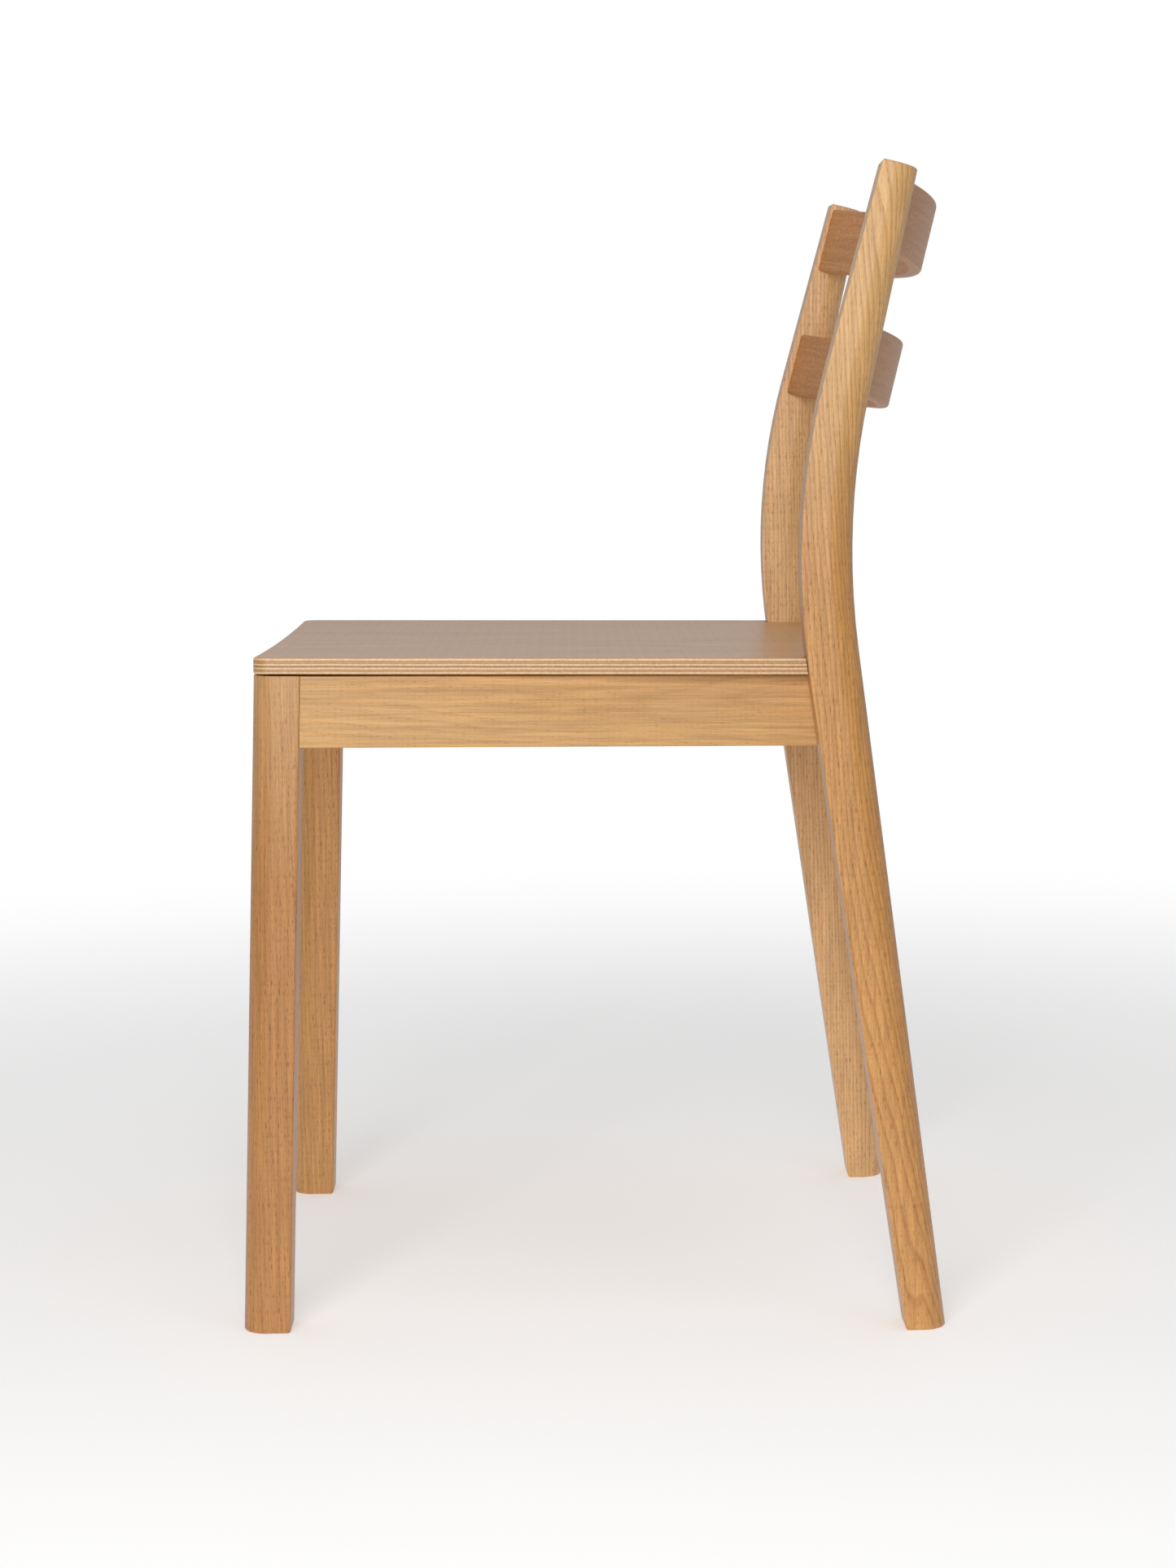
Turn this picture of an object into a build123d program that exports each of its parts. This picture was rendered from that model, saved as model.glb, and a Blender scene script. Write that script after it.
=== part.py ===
"""Oak dining chair, in millimetres.

+Z is up, the chair faces -Y and the sitter's left side is +X. The origin lies on the floor, midway across the
width and midway between the front of the front feet and the crown of the top back slat.
Each piece of the left side is modelled once and mirrored to the right. The chair is drawn with its seat level
and the front of its front feet at y = 0, where the floor is a plane that rises to the rear. At the end it is
tipped back onto a level floor and centred.
"""

import os
from math import atan2, cos, degrees, hypot, radians, sin, sqrt, tan

from build123d import *

# Overall sizes
floor_width = 489.0  # over the outer faces of the rear feet
seat_height = 454.8  # floor under the front of the front feet to the seat's side edge
seat_slope = 1.09  # degrees, the rear of the seat is lower
back_height = 323.3  # seat to the front corner of the post tops

# Legs
leg_thickness = 33.0  # all four legs, measured across the chair
front_leg_depth = 32.0
front_leg_rake = 1.35  # degrees off square to the seat, foot forward
round_flat = 0.5  # flat left on each side of the middle of a leg's rounded face
rear_foot_reach = 443.4  # front face of the front foot to the front face of the rear foot
rear_leg_splay = 1.39  # degrees, feet further apart than the post tops
foot_depth = 27.3  # rear leg at the floor, front to back
knee_depth = 37.2  # between the front and rear corners of the bend before they are eased
post_top_depth = 23.7
lower_rake = 8.73  # degrees, front face below the bend
upper_rake = 14.7  # degrees, front face above the bend
knee_rise = 90.4  # seat to the middle of the bend
bend_radius = 490.0  # of the eased bend, front and back
post_end_ease = 1.5  # rounding of the edges of the post tops
foot_ease = 1.2  # bevel round the underside of a foot
leg_arris = 1.6  # rubbed-down flat-side edges of the legs
rail_arris = 1.0  # rubbed-down long edges of the aprons

# Seat
seat_set_in = 22.5  # each side of the seat inside the outer faces of the rear feet
seat_thickness = 11.0
seat_dish = 2.0  # the middle is lower than the side edges by this much
seat_corner_radius = 10.0
seat_edge_round = 1.5
seat_gap = 1.2  # open line between the seat's underside and the side aprons
leg_notch_gap = 0.4  # between the seat's notches and the rear legs
seat_rear_set_in = 2.0  # seat's rear edge in front of the rear apron's outer face

# Seat frame
apron_thickness = 22.0
apron_height = 47.4
cross_rail_drop = 3.0  # front and rear aprons stay below the dished seat by this much
rear_apron_thickness = 13.0
front_apron_setback = 8.0  # behind the front of the front legs
lap_depth = 2.2  # side apron's outer face let into the rear leg

# Back slats
slat_thickness = 10.0
slat_bow = 48.5  # middle of a slat behind its ends
slat_edge_round = 2.5
slat_arc_points = 9  # set along each face of a slat
slat_setback = 1.2  # behind the front corner of the post's top
top_slat_height = 48.5
lower_slat_height = 47.0
top_slat_drop = 4.2  # below the post's top, along the post
slat_spacing = 50.0  # clear height between the two slats
tenon_thickness = 6.0
tenon_length = 15.0
tenon_shoulder = 6.0  # above and below a tenon
tenon_clearance = 0.1
mortise_end_gap = 1.0

# Dowels, bolts and screws
dowel_diameter = 8.0
dowel_length = 34.0  # between the side aprons and the front legs
dowel_clearance = 0.1  # on the radius
dowel_end_gap = 1.0  # bore beyond each end of a dowel
dowel_ease = 1.0  # bevel at the ends of a dowel
side_dowel_spacing = 28.0
cross_dowel_spacing = 14.0
rear_dowel_length = 28.0
rear_dowel_in_apron = 11.0
dowel_wall = 2.0  # wood between the ends of the front dowels and the side dowels
bolt_diameter = 6.0
bolt_clearance = 0.3  # on the radius
bolt_head_diameter = 10.0
bolt_head_height = 3.3
bolt_socket_width = 4.0
bolt_socket_depth = 2.0
bolt_spacing = 24.0
bolt_inset = 8.0  # bolt axis behind the front face of the rear leg
bolt_head_room = 0.7  # between the bolt heads and the rear apron
insert_diameter = 9.0
insert_length = 13.0
insert_clearance = 0.1  # on the radius
insert_end_gap = 1.0  # bore beyond the end of an insert
screw_diameter = 4.0
screw_clearance = 0.15  # on the radius
screw_head_diameter = 8.0
screw_head_height = 2.5
screw_head_round = 0.8
screw_slot_width = 1.0
screw_slot_depth = 1.2
block_screw_grip = 11.0  # length of a block screw inside the rail
block_screw_cover = 12.0  # wood under the head of a block screw
seat_screw_grip = 7.0  # length of a seat screw inside the plywood
seat_screw_sink = 8.0  # heads of the seat screws above the underside of the blocks
screw_head_room = 0.5  # around a screw head in its pocket
screw_end_gap = 0.5  # bore beyond the point of a screw

# Corner blocks
block_near = 22.0  # along each rail, corner to the block's near edge
block_far = 58.0  # along each rail, corner to the block's far edge
block_height = 30.0
spacer_diameter = 18.0

trim = 12.0  # extra size left on a blank before it is cut to its line

# Derived sizes
tilt = radians(seat_slope)
floor_plane = Plane(origin=(0, 0, 0), x_dir=(1, 0, 0), z_dir=(0, -sin(tilt), cos(tilt)))
foot_y = rear_foot_reach
foot_level = foot_y * tan(tilt)  # height of the floor under the rear feet while the seat is drawn level
knee_height = seat_height + knee_rise
post_height = seat_height + back_height
splay = radians(rear_leg_splay)
seat_width = floor_width - 2 * seat_set_in
rake_front = radians(front_leg_rake)
apron_top = seat_height - seat_thickness - seat_gap
apron_bottom = apron_top - apron_height
apron_middle = (apron_top + apron_bottom) / 2
cross_rail_top = apron_top - cross_rail_drop
cross_rail_height = cross_rail_top - apron_bottom
seat_underside = seat_height - seat_thickness
leg_rounding = leg_thickness / 2 - round_flat
front_leg_x = (seat_width - leg_thickness) / 2
front_leg_inner_x = seat_width / 2 - leg_thickness


def inner_x(height):
    """Distance from the chair's middle to a rear leg's inner face."""
    return floor_width / 2 - leg_thickness / cos(splay) - (height - foot_level) * tan(splay)


def rear_leg_front_y(height):
    """Front face of a rear leg below its bend."""
    return foot_y - (height - foot_level) * tan(radians(lower_rake))


def front_leg_front_y(height):
    """Front face of a front leg."""
    return height * tan(rake_front)


def front_leg_rear_y(height):
    """Rear face of a front leg."""
    return front_leg_front_y(height) + front_leg_depth


# The inner face of the left rear leg: x runs to the rear, y up the leg, the normal points outwards.
rear_leg_plane = Plane(origin=(inner_x(0), 0, 0), x_dir=(0, 1, 0), z_dir=(cos(splay), 0, sin(splay)))

# Corners of the rear leg's side outline, as distance to the rear and height
knee_front_y = rear_leg_front_y(knee_height)
post_top_y = knee_front_y + (post_height - knee_height) * tan(radians(upper_rake))
knee_middle_y = knee_front_y + knee_depth / 2
post_rake = atan2(post_top_y + post_top_depth / 2 - knee_middle_y, post_height - knee_height)


def rear_leg_outline(margin):
    """Side outline of a rear leg, grown all round by the margin and left long below the floor."""
    stub_height = foot_level - trim
    stub_depth = foot_depth - (knee_depth - foot_depth) * trim / (knee_height - foot_level)
    top_fall = post_top_depth * tan(post_rake)
    with BuildSketch() as outline:
        with BuildLine():
            Polyline(
                (rear_leg_front_y(stub_height), stub_height),
                (knee_front_y, knee_height),
                (post_top_y, post_height),
                (post_top_y + post_top_depth, post_height - top_fall),
                (knee_front_y + knee_depth, knee_height),
                (rear_leg_front_y(stub_height) + stub_depth, stub_height),
                close=True,
            )
        make_face()
        knees = outline.vertices().sort_by_distance((knee_middle_y, knee_height))[:2]
        fillet(knees, radius=bend_radius)
        if margin:
            offset(amount=margin)
    return outline.sketch


# Each bolt stands at the same distance behind the raked front face of the leg, so they are staggered.
bolt_stagger = bolt_spacing / 2 * tan(radians(lower_rake))
bolt_reach = bolt_inset + bolt_stagger + bolt_head_diameter / 2 + bolt_head_room
lap_length = bolt_reach + rear_apron_thickness

# Side aprons run back from the front legs and in behind the inner faces of the rear legs.
apron_front_y = front_leg_rear_y(apron_middle)
apron_lap_y = rear_leg_front_y(apron_middle)
apron_front_x = seat_width / 2
apron_lap_x = inner_x(apron_middle) + lap_depth
apron_run = hypot(apron_lap_y - apron_front_y, apron_front_x - apron_lap_x)
apron_dir = Vector(apron_lap_x - apron_front_x, apron_lap_y - apron_front_y, 0) / apron_run
apron_out = Vector(apron_dir.Y, -apron_dir.X, 0)
apron_taper = atan2(apron_front_x - apron_lap_x, apron_lap_y - apron_front_y)
apron_end_y = apron_lap_y + lap_length

front_leg_rear_plane = Plane(
    origin=(0, front_leg_rear_y(0), 0),
    x_dir=(1, 0, 0),
    z_dir=(0, cos(rake_front), -sin(rake_front)),
)

# The side apron's outer face: x runs to the rear, y down, the normal points away from the chair.
apron_face = Plane(origin=(apron_front_x, apron_front_y, apron_middle), x_dir=apron_dir, z_dir=apron_out)


def apron_inner_x(y):
    """Distance from the chair's middle to a side apron's inner face."""
    return apron_front_x - (y - apron_front_y) * tan(apron_taper) - apron_thickness / cos(apron_taper)


front_apron_y = front_leg_front_y(apron_middle) + front_apron_setback
front_apron_rear_y = front_apron_y + apron_thickness
rear_apron_y = apron_end_y - rear_apron_thickness


def both_sides(planes):
    """The planes of the left side together with their mirror images."""
    mirrored = []
    for plane in planes:
        spot = plane.origin
        axis = plane.z_dir
        mirrored.append(Plane(origin=(-spot.X, spot.Y, spot.Z), z_dir=(-axis.X, axis.Y, axis.Z)))
    return list(planes) + mirrored


def pin_planes(x, y, axis, spacing):
    """Two pin positions one above the other, at the middle of the apron's height."""
    heights = (apron_middle - spacing / 2, apron_middle + spacing / 2)
    return [Plane(origin=(x, y, height), z_dir=axis) for height in heights]


# Joints of the left side, each at the middle of its pin and facing along it
side_joint_x = apron_front_x - apron_thickness / 2 / cos(apron_taper)
side_joints = pin_planes(side_joint_x, apron_front_y, apron_dir, side_dowel_spacing)
front_joints = pin_planes(
    front_leg_inner_x, front_apron_y + apron_thickness / 2, (1, 0, 0), cross_dowel_spacing
)
rear_joint_y = rear_apron_y + rear_apron_thickness / 2
rear_joints = [
    plane.offset(rear_dowel_in_apron - rear_dowel_length / 2)
    for plane in pin_planes(apron_inner_x(rear_joint_y), rear_joint_y, apron_out, cross_dowel_spacing)
]
bolt_seats = [
    Plane(
        origin=apron_face.origin + apron_dir * (apron_run + bolt_inset - side * bolt_stagger)
        + Vector(0, 0, side * bolt_spacing / 2),
        z_dir=apron_out,
    )
    for side in (-1, 1)
]


def pins(planes, diameter, length):
    """Plain round pins, each centred on its plane."""
    with BuildPart() as made:
        with Locations(*planes):
            Cylinder(radius=diameter / 2, height=length)
    return made.part


dowel_bore = dowel_diameter + 2 * dowel_clearance
dowel_bore_length = dowel_length + 2 * dowel_end_gap
rear_dowel_bore_length = rear_dowel_length + 2 * dowel_end_gap
front_dowel_in_leg = leg_thickness - apron_thickness / 2 - dowel_diameter / 2 - dowel_wall
front_dowel_length = 2 * front_dowel_in_leg
front_dowel_bore_length = front_dowel_length + 2 * dowel_end_gap
side_bores = pins(both_sides(side_joints), dowel_bore, dowel_bore_length)
front_bores = pins(both_sides(front_joints), dowel_bore, front_dowel_bore_length)
rear_bores = pins(both_sides(rear_joints), dowel_bore, rear_dowel_bore_length)

# Dowels with eased ends
with BuildPart() as side_apron_dowels:
    add(pins(both_sides(side_joints), dowel_diameter, dowel_length))
    chamfer(side_apron_dowels.edges().filter_by(GeomType.CIRCLE), length=dowel_ease)

with BuildPart() as front_apron_dowels:
    add(pins(both_sides(front_joints), dowel_diameter, front_dowel_length))
    chamfer(front_apron_dowels.edges().filter_by(GeomType.CIRCLE), length=dowel_ease)

with BuildPart() as rear_apron_dowels:
    add(pins(both_sides(rear_joints), dowel_diameter, rear_dowel_length))
    chamfer(rear_apron_dowels.edges().filter_by(GeomType.CIRCLE), length=dowel_ease)


class Corner:
    """One corner of the seat frame, with the two rail directions that leave it and what its block needs."""

    def __init__(self, x, y, along_cross, along_side):
        self.spot = Vector(x, y, 0)
        self.cross = along_cross
        self.side = along_side

    def at(self, cross_run, side_run, height):
        """A point given by its distances along the two rails."""
        return self.spot + self.cross * cross_run + self.side * side_run + Vector(0, 0, height)


block_bottom = cross_rail_top - block_height
block_middle = cross_rail_top - block_height / 2
block_screw_run = (block_near + block_far) / 2
seat_screw_run = (block_near + block_far) / 4
inward = Vector(-1, 0, 0)
side_back = Vector(-sin(apron_taper), cos(apron_taper), 0)
front_corner = Corner(apron_inner_x(front_apron_rear_y), front_apron_rear_y, inward, side_back)
rear_corner = Corner(apron_inner_x(rear_apron_y), rear_apron_y, inward, -side_back)


def block_screw_planes(corner):
    """Where the two screws of a block cross from the block into the rails, each facing into its rail."""
    cross_out = Vector(0, -1 if corner.side.Y > 0 else 1, 0)
    return [
        Plane(origin=corner.at(block_screw_run, 0, block_middle), z_dir=cross_out),
        Plane(origin=corner.at(0, block_screw_run, block_middle), z_dir=apron_out),
    ]


def seat_screw_plane(corner):
    """Axis of the seat screw, at the height where its head bears on the block."""
    return Plane.XY.move(Location(corner.at(seat_screw_run, seat_screw_run, block_bottom + seat_screw_sink)))


def screw(length):
    """A pan-head screw standing on the XY plane: head below it, shank above."""
    with BuildPart(mode=Mode.PRIVATE) as made:
        Cylinder(radius=screw_diameter / 2, height=length, align=(Align.CENTER, Align.CENTER, Align.MIN))
        Cylinder(
            radius=screw_head_diameter / 2,
            height=screw_head_height,
            align=(Align.CENTER, Align.CENTER, Align.MAX),
        )
        fillet(made.faces().sort_by(Axis.Z)[0].edges(), radius=screw_head_round)
        with Locations((0, 0, -screw_head_height)):
            Box(
                screw_head_diameter,
                screw_slot_width,
                2 * screw_slot_depth,
                mode=Mode.SUBTRACT,
            )
    return made.part


def screw_room(length):
    """The bore for a screw and the pocket for its head, standing like the screw."""
    with BuildPart(mode=Mode.PRIVATE) as made:
        Cylinder(
            radius=screw_diameter / 2 + screw_clearance,
            height=length + screw_end_gap,
            align=(Align.CENTER, Align.CENTER, Align.MIN),
        )
        Cylinder(
            radius=screw_head_diameter / 2 + screw_head_room,
            height=block_far,
            align=(Align.CENTER, Align.CENTER, Align.MAX),
        )
    return made.part


block_screw_length = block_screw_cover + block_screw_grip
left_corners = [front_corner, rear_corner]
left_block_screws = [
    plane.offset(-block_screw_cover) for corner in left_corners for plane in block_screw_planes(corner)
]
left_seat_screws = [seat_screw_plane(corner) for corner in left_corners]
seat_screw_x = left_seat_screws[0].origin.X
seat_sag = seat_dish * (1 - (2 * seat_screw_x / seat_width) ** 2)
spacer_height = seat_underside - seat_sag - cross_rail_top
seat_screw_length = block_height - seat_screw_sink + spacer_height + seat_screw_grip

with BuildPart() as corner_block_screws:
    with Locations(*both_sides(left_block_screws)):
        add(screw(block_screw_length))

with BuildPart() as seat_screws:
    with Locations(*both_sides(left_seat_screws)):
        add(screw(seat_screw_length))

with BuildPart() as block_screw_bores:
    with Locations(*both_sides(left_block_screws)):
        add(screw_room(block_screw_length))

with BuildPart() as seat_screw_bores:
    with Locations(*both_sides(left_seat_screws)):
        add(screw_room(seat_screw_length))

# Front legs: a D section, round to the front, along a slightly raked line
leg_lean = Vector(0, sin(rake_front), cos(rake_front))
with BuildPart() as front_leg_left:
    with BuildSketch(Plane.XY.offset(-trim)) as front_leg_section:
        with Locations((front_leg_x, front_leg_front_y(-trim) + front_leg_depth / 2)):
            Rectangle(leg_thickness, front_leg_depth)
        fillet(front_leg_section.vertices().group_by(Axis.Y)[0], radius=leg_rounding)
        fillet(front_leg_section.vertices().group_by(Axis.Y)[-1], radius=leg_arris)
    extrude(amount=(apron_top + trim) / cos(rake_front), dir=leg_lean)
    split(bisect_by=floor_plane)
    chamfer(front_leg_left.faces().sort_by(Axis.Z)[0].edges(), length=foot_ease)
    add(side_bores, mode=Mode.SUBTRACT)
    add(front_bores, mode=Mode.SUBTRACT)

# Side aprons: straight boards, cut to the raked front leg at one end and square at the other
with BuildPart() as side_apron_left:
    with BuildSketch(apron_face):
        with Locations(((apron_run + lap_length) / 2, 0)):
            Rectangle(apron_run + lap_length + 2 * trim, apron_height)
    extrude(amount=-apron_thickness)
    long_edges = side_apron_left.edges().filter_by(lambda edge: edge.length > apron_run)
    fillet(long_edges, radius=rail_arris)
    split(bisect_by=front_leg_rear_plane)
    split(bisect_by=Plane(origin=(0, apron_end_y, 0), z_dir=(0, -1, 0)))
    add(side_bores, mode=Mode.SUBTRACT)
    add(rear_bores, mode=Mode.SUBTRACT)
    add(block_screw_bores.part, mode=Mode.SUBTRACT)
    with Locations(*bolt_seats):
        Cylinder(
            radius=bolt_diameter / 2 + bolt_clearance,
            height=2 * (apron_thickness + trim),
            mode=Mode.SUBTRACT,
        )

# Front apron between the front legs, rear apron between the side aprons
with BuildPart() as front_apron:
    with BuildSketch(Plane.XY.offset(apron_bottom)):
        with Locations((0, front_apron_y + apron_thickness / 2)):
            Rectangle(2 * front_leg_inner_x, apron_thickness)
    extrude(amount=cross_rail_height)
    fillet(front_apron.edges().filter_by(Axis.X), radius=rail_arris)
    add(front_bores, mode=Mode.SUBTRACT)
    add(block_screw_bores.part, mode=Mode.SUBTRACT)

with BuildPart() as rear_apron:
    with BuildSketch(Plane.XY.offset(apron_bottom)):
        with BuildLine():
            Polyline(
                (apron_inner_x(rear_apron_y), rear_apron_y),
                (apron_inner_x(apron_end_y), apron_end_y),
                (-apron_inner_x(apron_end_y), apron_end_y),
                (-apron_inner_x(rear_apron_y), rear_apron_y),
                close=True,
            )
        make_face()
    extrude(amount=cross_rail_height)
    fillet(rear_apron.edges().filter_by(Axis.X), radius=rail_arris)
    add(rear_bores, mode=Mode.SUBTRACT)
    add(block_screw_bores.part, mode=Mode.SUBTRACT)

# Back slats stand in one raked plane behind the front faces of the posts.
slat_span = inner_x(post_height - top_slat_drop - top_slat_height - slat_spacing / 2)
slat_radius = (slat_span**2 + slat_bow**2) / (2 * slat_bow)
slat_up = Vector(0, sin(post_rake), cos(post_rake))
slat_back = Vector(0, cos(post_rake), -sin(post_rake))
slat_origin = Vector(0, post_top_y + slat_setback, post_height)
slat_plane = Plane(origin=slat_origin, x_dir=(1, 0, 0), z_dir=slat_up)
slat_end_depth = sqrt((slat_radius + slat_thickness) ** 2 - slat_span**2) - (slat_radius - slat_bow)
tenon_back = slat_end_depth / 2
rear_leg_plane_right = both_sides([rear_leg_plane])[1]


def slat_arc(radius):
    """Points along one face of a slat seen from above, running past both ends of the finished slat."""
    swing = atan2(slat_span + tenon_length, slat_radius - slat_bow)
    turns = [swing * (2 * step / (slat_arc_points - 1) - 1) for step in range(slat_arc_points)]
    return [(radius * sin(turn), radius * cos(turn) - (slat_radius - slat_bow)) for turn in turns]


def slat_blank(bottom, height):
    """A bent slat, concave to the front, cut to the inner faces of the posts."""
    with BuildPart() as blank:
        with BuildSketch(slat_plane.offset(bottom)):
            with BuildLine():
                front_line = Spline(*slat_arc(slat_radius))
                rear_line = Spline(*slat_arc(slat_radius + slat_thickness))
                Line(front_line @ 0, rear_line @ 0)
                Line(front_line @ 1, rear_line @ 1)
            make_face()
        extrude(amount=height)
        split(bisect_by=rear_leg_plane, keep=Keep.BOTTOM)
        split(bisect_by=rear_leg_plane_right, keep=Keep.BOTTOM)
        long_edges = blank.edges().filter_by(lambda edge: edge.length > slat_span)
        fillet(long_edges, radius=slat_edge_round)
    return blank.part


def tenon_bar(bottom, height, grow, length):
    """The tenon at the left end of a slat, or its mortise when it is grown by the clearance."""
    middle = slat_origin + slat_up * (bottom + height / 2) + slat_back * tenon_back
    with BuildPart() as bar:
        with BuildSketch(rear_leg_plane):
            with Locations((middle.Y, middle.Z / cos(splay))):
                Rectangle(
                    tenon_thickness + 2 * grow,
                    height - 2 * tenon_shoulder + 2 * grow,
                    rotation=-degrees(post_rake),
                )
        extrude(amount=length)
    return bar.part


top_slat_bottom = -top_slat_drop - top_slat_height
lower_slat_bottom = top_slat_bottom - slat_spacing - lower_slat_height

with BuildPart() as top_back_slat:
    add(slat_blank(top_slat_bottom, top_slat_height))
    add(tenon_bar(top_slat_bottom, top_slat_height, 0, tenon_length))
    add(tenon_bar(top_slat_bottom, top_slat_height, 0, tenon_length).mirror(Plane.YZ))

with BuildPart() as lower_back_slat:
    add(slat_blank(lower_slat_bottom, lower_slat_height))
    add(tenon_bar(lower_slat_bottom, lower_slat_height, 0, tenon_length))
    add(tenon_bar(lower_slat_bottom, lower_slat_height, 0, tenon_length).mirror(Plane.YZ))


def centre_line_y(height):
    """Middle of the rear leg's side outline at a height."""
    if height < knee_height:
        share = (knee_height - height) / (knee_height - foot_level)
        return knee_middle_y + (foot_y + foot_depth / 2 - knee_middle_y) * share
    return knee_middle_y + (height - knee_height) * tan(post_rake)


# Rear legs: a bent D section, round to the rear, with mortises for the slats and a housing for the apron
with BuildPart() as rear_leg_left:
    with BuildSketch(rear_leg_plane):
        add(rear_leg_outline(0))
    extrude(amount=leg_thickness)
    long_edges = rear_leg_left.edges().filter_by(lambda edge: edge.length > knee_depth + trim)
    rear_edges = [edge for edge in long_edges if (edge @ 0.5).Y > centre_line_y((edge @ 0.5).Z)]
    fillet(rear_edges, radius=leg_rounding)
    fillet(rear_leg_left.faces().sort_by(Axis.Z)[-1].edges(), radius=post_end_ease)
    split(bisect_by=floor_plane)
    chamfer(rear_leg_left.faces().sort_by(Axis.Z)[0].edges(), length=foot_ease)
    add(side_apron_left.part, mode=Mode.SUBTRACT)
    mortise_depth = tenon_length + mortise_end_gap
    add(tenon_bar(top_slat_bottom, top_slat_height, tenon_clearance, mortise_depth), mode=Mode.SUBTRACT)
    add(tenon_bar(lower_slat_bottom, lower_slat_height, tenon_clearance, mortise_depth), mode=Mode.SUBTRACT)
    with Locations(*bolt_seats):
        Cylinder(
            radius=insert_diameter / 2 + insert_clearance,
            height=2 * (insert_length + insert_end_gap),
            mode=Mode.SUBTRACT,
        )

# Threaded inserts sit flush in the rear legs; the bolts reach them through the side aprons from inside.
insert_middles = [plane.offset(insert_length / 2) for plane in both_sides(bolt_seats)]
with BuildPart() as rear_leg_insert_nuts:
    with Locations(*insert_middles):
        Cylinder(radius=insert_diameter / 2, height=insert_length)
        Cylinder(radius=bolt_diameter / 2 + bolt_clearance, height=insert_length, mode=Mode.SUBTRACT)

with BuildPart() as rear_leg_bolts:
    with Locations(*both_sides([plane.offset(-apron_thickness) for plane in bolt_seats])):
        Cylinder(
            radius=bolt_diameter / 2,
            height=apron_thickness + insert_length,
            align=(Align.CENTER, Align.CENTER, Align.MIN),
        )
        Cylinder(
            radius=bolt_head_diameter / 2,
            height=bolt_head_height,
            align=(Align.CENTER, Align.CENTER, Align.MAX),
        )
    socket_floor = -apron_thickness - bolt_head_height + bolt_socket_depth
    for plane in both_sides([plane.offset(socket_floor) for plane in bolt_seats]):
        with BuildSketch(plane):
            RegularPolygon(radius=bolt_socket_width / 2, side_count=6, major_radius=False)
        extrude(amount=-bolt_socket_depth, mode=Mode.SUBTRACT)

# Plywood seat, dished across its width, notched round the rear legs
with BuildPart() as seat_panel:
    with BuildSketch(Plane.XY.offset(seat_underside - trim)) as seat_plan:
        seat_front_y = front_leg_front_y(seat_height)
        seat_rear_y = apron_end_y - seat_rear_set_in
        with Locations((0, (seat_front_y + seat_rear_y) / 2)):
            Rectangle(seat_width, seat_rear_y - seat_front_y)
        fillet(seat_plan.vertices().group_by(Axis.Y)[0], radius=seat_corner_radius)
    extrude(amount=seat_thickness + 2 * trim)
    with BuildSketch(Plane.XZ) as seat_section:
        with BuildLine():
            top_line = ThreePointArc(
                (-seat_width / 2, seat_height),
                (0, seat_height - seat_dish),
                (seat_width / 2, seat_height),
            )
            under_line = ThreePointArc(
                (-seat_width / 2, seat_underside),
                (0, seat_underside - seat_dish),
                (seat_width / 2, seat_underside),
            )
            Line(top_line @ 0, under_line @ 0)
            Line(top_line @ 1, under_line @ 1)
        make_face()
    extrude(amount=seat_rear_y + seat_edge_round, both=True, mode=Mode.INTERSECT)
    big_faces = seat_panel.faces().sort_by(SortBy.AREA)[-2:]
    fillet(big_faces.edges(), radius=seat_edge_round)
    with BuildPart(mode=Mode.PRIVATE) as leg_room:
        with BuildSketch(rear_leg_plane.offset(-leg_notch_gap)):
            add(rear_leg_outline(leg_notch_gap))
        extrude(amount=2 * leg_thickness)
    add(leg_room.part, mode=Mode.SUBTRACT)
    add(leg_room.part.mirror(Plane.YZ), mode=Mode.SUBTRACT)
    add(seat_screw_bores.part, mode=Mode.SUBTRACT)


def corner_block(corner):
    """A diagonal block between two rails, bored for its two rail screws and its seat screw."""
    with BuildPart(mode=Mode.PRIVATE) as block:
        corners = [
            corner.at(block_near, 0, block_bottom),
            corner.at(block_far, 0, block_bottom),
            corner.at(0, block_far, block_bottom),
            corner.at(0, block_near, block_bottom),
        ]
        with BuildSketch(Plane.XY.offset(block_bottom)):
            with BuildLine():
                Polyline(*[(spot.X, spot.Y) for spot in corners], close=True)
            make_face()
        extrude(amount=block_height)
        chamfer(block.edges().filter_by(Axis.Z), length=rail_arris)
        add(block_screw_bores.part, mode=Mode.SUBTRACT)
        add(seat_screw_bores.part, mode=Mode.SUBTRACT)
    return block.part


with BuildPart() as corner_block_front_left:
    add(corner_block(front_corner))

with BuildPart() as corner_block_rear_left:
    add(corner_block(rear_corner))

# Spacers fill the space between the blocks and the dished underside of the seat.
with BuildPart() as seat_spacers:
    spacer_spots = [plane.origin for plane in both_sides(left_seat_screws)]
    with Locations(*[Vector(spot.X, spot.Y, cross_rail_top) for spot in spacer_spots]):
        Cylinder(
            radius=spacer_diameter / 2,
            height=2 * spacer_height,
            align=(Align.CENTER, Align.CENTER, Align.MIN),
        )
    add(seat_screw_bores.part, mode=Mode.SUBTRACT)
    add(seat_panel.part, mode=Mode.SUBTRACT)

# Right-hand pieces mirror the left-hand ones.
with BuildPart() as front_leg_right:
    add(front_leg_left.part.mirror(Plane.YZ))

with BuildPart() as rear_leg_right:
    add(rear_leg_left.part.mirror(Plane.YZ))

with BuildPart() as side_apron_right:
    add(side_apron_left.part.mirror(Plane.YZ))

with BuildPart() as corner_block_front_right:
    add(corner_block_front_left.part.mirror(Plane.YZ))

with BuildPart() as corner_block_rear_right:
    add(corner_block_rear_left.part.mirror(Plane.YZ))

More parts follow.
